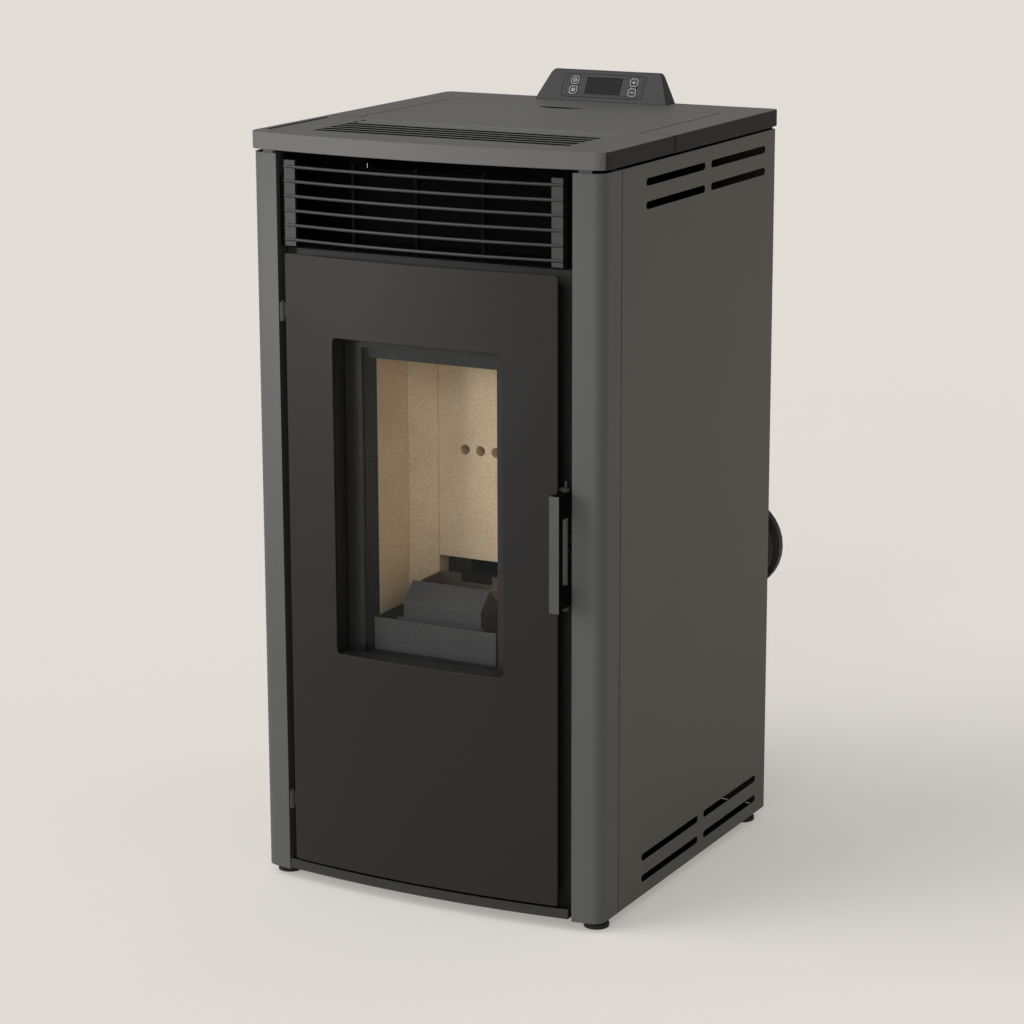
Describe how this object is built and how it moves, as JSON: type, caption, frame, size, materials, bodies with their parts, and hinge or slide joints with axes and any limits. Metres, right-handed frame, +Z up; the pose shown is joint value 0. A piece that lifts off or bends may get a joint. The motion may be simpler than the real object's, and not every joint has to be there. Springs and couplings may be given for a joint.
{
  "type": "pellet stove",
  "caption": "Free-standing pellet stove with a curved glazed door, brick-lined fire box, top hopper with lid, feed auger, warm air grille and rear flue.",
  "frame": {"origin": "on the floor, below the middle of the bounding box", "axes": "+Z up, +Y towards the flue at the back, +X to the right of someone facing the door"},
  "size_m": [0.486, 0.633, 0.9953],
  "materials": {
    "cabinet_paint": "fine textured matt paint, warm dark grey",
    "pillar_paint": "fine textured satin paint, mid grey",
    "top_paint": "fine textured matt paint, mid grey",
    "door_paint": "smooth satin paint, near black",
    "black_paint": "matt heat-proof paint, black",
    "glass": "clear ceramic glass",
    "vermiculite": "pressed board, fine speckle",
    "cast_iron": "matt heat-proof paint on cast iron, slate grey",
    "tinted_steel": "heat-tinted stainless steel",
    "zinc_steel": "zinc-plated sheet steel",
    "rubber": "moulded rubber foot",
    "black_plastic": "moulded plastic, fine grain",
    "display": "smoked display window",
    "rope": "knitted glass-fibre rope",
    "board": "printed circuit board"
  },
  "bodies": {
    "cabinet": {"base_plate": "black_paint", "foot_front_left": "rubber", "foot_front_right": "rubber", "foot_rear_left": "rubber", "foot_rear_right": "rubber", "left_side_panel": "cabinet_paint", "right_side_panel": "cabinet_paint", "rear_panel": "cabinet_paint", "left_pillar": "pillar_paint", "right_pillar": "pillar_paint", "top_front_cover": "top_paint", "top_rear_frame": "top_paint", "lid_hinge_rod": "zinc_steel", "control_housing": "black_plastic", "control_bezel": "black_plastic", "display_window": "display", "air_grille": "cast_iron", "air_outlet_box": "black_paint", "bottom_trim": "black_paint", "door_hinge_lower": "black_paint", "door_hinge_upper": "black_paint", "firebox_front": "black_paint", "firebox_shell": "black_paint", "back_brick": "vermiculite", "left_brick": "vermiculite", "left_corner_brick": "vermiculite", "right_brick": "vermiculite", "right_corner_brick": "vermiculite", "baffle_plate": "vermiculite", "auger_tube": "zinc_steel", "auger_motor": "black_paint", "pellet_chute": "zinc_steel", "pellet_hopper": "zinc_steel", "hopper_grille": "zinc_steel", "room_fan_housing": "black_paint", "flue_fan_housing": "cast_iron", "flue_duct": "zinc_steel", "flue_pipe": "black_paint", "flue_collar": "black_paint", "air_intake": "zinc_steel", "igniter": "zinc_steel", "control_board": "board", "power_inlet": "black_plastic"},
    "door": {"door_panel": "door_paint", "door_frame": "black_paint", "door_glass": "glass", "door_gasket": "rope"},
    "handle": {"door_handle": "cast_iron"},
    "lid": {"hopper_lid": "top_paint"},
    "button_1": {"button_1": "black_plastic"},
    "button_2": {"button_2": "black_plastic"},
    "button_3": {"button_3": "black_plastic"},
    "button_4": {"button_4": "black_plastic"},
    "burn_pot": {"burn_pot": "cast_iron", "pot_liner": "tinted_steel"},
    "ash_pan": {"ash_pan": "cast_iron"},
    "auger": {"auger_screw": "zinc_steel"},
    "room_fan": {"room_fan_impeller": "zinc_steel"},
    "flue_fan": {"flue_fan_impeller": "zinc_steel"},
    "rocker": {"rocker_switch": "black_plastic"}
  },
  "joints": [
    {"name": "door_hinge", "type": "hinge", "parent": "cabinet", "child": "door", "pos_m": [-0.1945, -0.286, 0.112], "axis": [0, 0, -1], "range_deg": [0, 110]},
    {"name": "handle_turn", "type": "hinge", "parent": "door", "child": "handle", "pos_m": [0.1945, -0.286, 0.4815], "axis": [0, 0, 1], "range_deg": [0, 30]},
    {"name": "lid_hinge", "type": "hinge", "parent": "cabinet", "child": "lid", "pos_m": [0, -0.0882, 0.953], "axis": [1, 0, 0], "range_deg": [0, 90]},
    {"name": "button_1_press", "type": "slide", "parent": "cabinet", "child": "button_1", "axis": [0, 0.8752, -0.4837], "range_m": [0, 0.0006], "stiffness_N_per_m": 400},
    {"name": "button_2_press", "type": "slide", "parent": "cabinet", "child": "button_2", "axis": [0, 0.8752, -0.4837], "range_m": [0, 0.0006], "stiffness_N_per_m": 400},
    {"name": "button_3_press", "type": "slide", "parent": "cabinet", "child": "button_3", "axis": [0, 0.8752, -0.4837], "range_m": [0, 0.0006], "stiffness_N_per_m": 400},
    {"name": "button_4_press", "type": "slide", "parent": "cabinet", "child": "button_4", "axis": [0, 0.8752, -0.4837], "range_m": [0, 0.0006], "stiffness_N_per_m": 400},
    {"name": "burn_pot_lift", "type": "slide", "parent": "cabinet", "child": "burn_pot", "axis": [0, 0, 1], "range_m": [0, 0.06]},
    {"name": "ash_pan_lift", "type": "slide", "parent": "cabinet", "child": "ash_pan", "axis": [0, 0, 1], "range_m": [0, 0.03]},
    {"name": "auger_turn", "type": "hinge", "parent": "cabinet", "child": "auger", "pos_m": [0, 0.099, 0.342], "axis": [0, -0.6489, 0.7608], "continuous": true},
    {"name": "room_fan_turn", "type": "hinge", "parent": "cabinet", "child": "room_fan", "pos_m": [-0.105, 0.114, 0.09], "axis": [1, 0, 0], "continuous": true},
    {"name": "flue_fan_turn", "type": "hinge", "parent": "cabinet", "child": "flue_fan", "pos_m": [0.155, 0.054, 0.321], "axis": [1, 0, 0], "continuous": true},
    {"name": "rocker_tip", "type": "hinge", "parent": "cabinet", "child": "rocker", "pos_m": [-0.19, 0.2125, 0.1145], "axis": [-1, 0, 0], "range_deg": [0, 12]}
  ]
}
